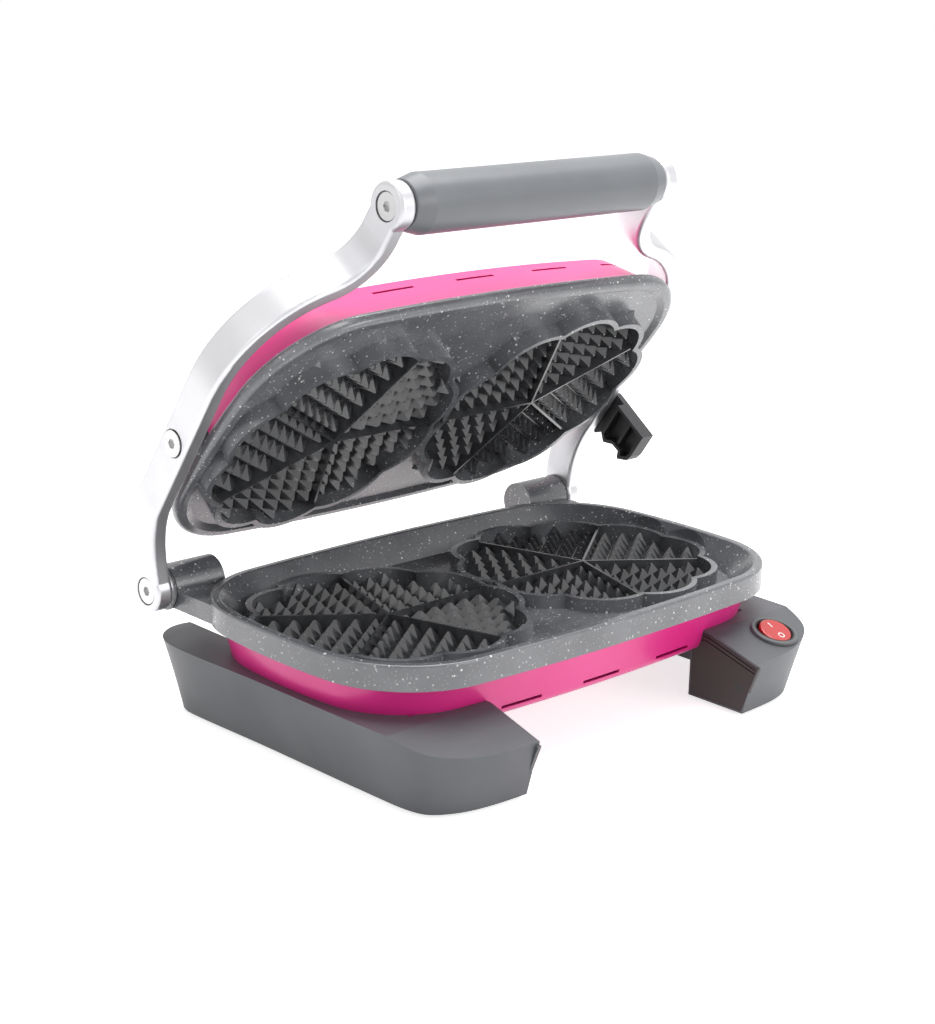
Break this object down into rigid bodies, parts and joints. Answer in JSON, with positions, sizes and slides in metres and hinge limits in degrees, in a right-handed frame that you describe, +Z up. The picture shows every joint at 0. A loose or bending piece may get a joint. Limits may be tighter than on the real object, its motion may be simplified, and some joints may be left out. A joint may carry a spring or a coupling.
{
  "type": "double waffle maker",
  "caption": "Countertop waffle maker with hinged lid, raised on bent side arms with a cross handle, over heart-flower plates in a painted pan on two plastic feet.",
  "frame": {"origin": "middle of the bounding box in X and Y, on the table under the rubber feet", "axes": "+Z up, -Y towards the person using it (the front, with the switch), +X to the right seen from the front"},
  "size_m": [0.2903, 0.2115, 0.2553],
  "materials": {
    "granite_coating": "speckled non-stick coating on cast aluminium",
    "pink_paint": "satin enamel on pressed sheet",
    "grey_plastic": "fine grain",
    "brown_plastic": "fine grain",
    "satin_aluminium": "satin",
    "steel": "bright zinc",
    "black_steel": "black",
    "element_steel": "heat stained",
    "shield_steel": "plain",
    "rubber": "matt",
    "dark_plastic": "fine grain",
    "bezel_plastic": "fine grain",
    "red_plastic": "translucent gloss",
    "ceramic": "plain"
  },
  "bodies": {
    "base": {"lower_plate": "granite_coating", "lower_pan": "pink_paint", "lower_heating_element": "element_steel", "lower_reflector": "shield_steel", "lower_thermostat": "ceramic", "thermal_fuse": "steel", "left_foot_housing": "grey_plastic", "right_foot_housing": "grey_plastic", "left_base_cover": "dark_plastic", "right_base_cover": "dark_plastic", "left_toe_cover": "brown_plastic", "right_toe_cover": "brown_plastic", "rubber_feet": "rubber", "cross_member": "black_steel", "chassis_screws": "steel", "brace_screws": "steel", "toe_screws": "steel", "base_cover_screws": "steel", "terminal_block": "ceramic", "cord_gland": "dark_plastic", "switch_body": "dark_plastic", "switch_bezel": "bezel_plastic", "hinge_screws": "steel", "hinge_washers": "satin_aluminium"},
    "arms": {"left_arm": "satin_aluminium", "right_arm": "satin_aluminium", "handle_grip": "grey_plastic", "handle_rod": "steel", "handle_screws": "steel", "lever_screw": "steel"},
    "lid": {"upper_plate": "granite_coating", "lid_cover": "pink_paint", "upper_heating_element": "element_steel", "upper_reflector": "shield_steel", "upper_thermostat": "ceramic", "lid_cover_screws": "steel", "lid_pin_screws": "steel"},
    "height_lever": {"height_lever": "dark_plastic"},
    "rocker": {"rocker": "red_plastic"}
  },
  "joints": [
    {"name": "arm_hinge", "type": "hinge", "parent": "base", "child": "arms", "pos_m": [0, 0.085, 0.0594], "axis": [1, 0, 0], "range_deg": [-42.4, 57.6]},
    {"name": "lid_pivot", "type": "hinge", "parent": "arms", "child": "lid", "pos_m": [0, 0.05288, 0.13614], "axis": [1, 0, 0], "range_deg": [-9.3, 6.9]},
    {"name": "lever_pivot", "type": "hinge", "parent": "arms", "child": "height_lever", "pos_m": [0.1449, 0.07059, 0.11008], "axis": [1, 0, 0], "range_deg": [-15, 20]},
    {"name": "rocker_tilt", "type": "hinge", "parent": "base", "child": "rocker", "pos_m": [0.1025, -0.0879, 0.03075], "axis": [1, 0, 0], "range_deg": [-16, 0]}
  ],
  "couplings": [
    {"joint": "lid_pivot", "follows": "arm_hinge", "ratio": -0.1597}
  ]
}
